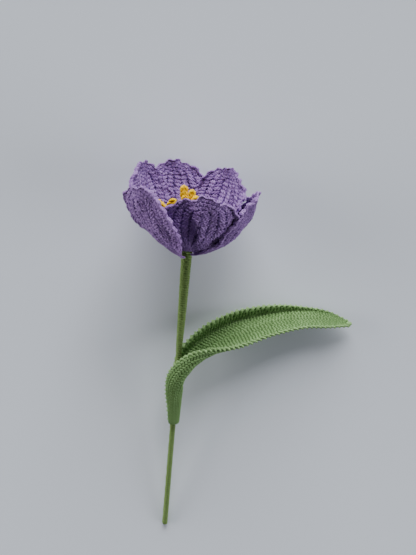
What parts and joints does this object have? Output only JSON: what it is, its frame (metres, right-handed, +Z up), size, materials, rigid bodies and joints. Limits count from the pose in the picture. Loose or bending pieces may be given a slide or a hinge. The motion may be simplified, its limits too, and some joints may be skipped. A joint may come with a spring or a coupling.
{
  "type": "crocheted tulip",
  "caption": "Crocheted tulip with an open cup of overlapping petals, looped stamens, a yarn-wrapped wire stem and one long channelled leaf, lying on its back.",
  "frame": {"origin": "centre of the laid flower's bounding box, on the surface it lies on", "axes": "+Y from the cut end of the stem to the flower, +X towards the tip of the leaf, +Z up from the surface"},
  "size_m": [0.1708, 0.2973, 0.0915],
  "materials": {
    "petal_yarn": "matt lavender cotton yarn, crocheted in rows that curve round the petal",
    "stamen_yarn": "matt golden yellow yarn, looped chain",
    "stem_yarn": "matt dark green yarn wound tightly round a wire",
    "leaf_yarn": "matt leaf green yarn, crocheted lengthwise",
    "wire_steel": "plain craft wire, out of sight inside the stem and the leaf"
  },
  "bodies": {
    "root": {"petal_front": "petal_yarn", "petal_right": "petal_yarn", "petal_back_right": "petal_yarn", "petal_back": "petal_yarn", "petal_back_left": "petal_yarn", "petal_left": "petal_yarn", "stamens": "stamen_yarn", "stem_wrap": "stem_yarn", "stem_wire": "wire_steel", "leaf": "leaf_yarn", "leaf_wire": "wire_steel"}
  },
  "joints": []
}
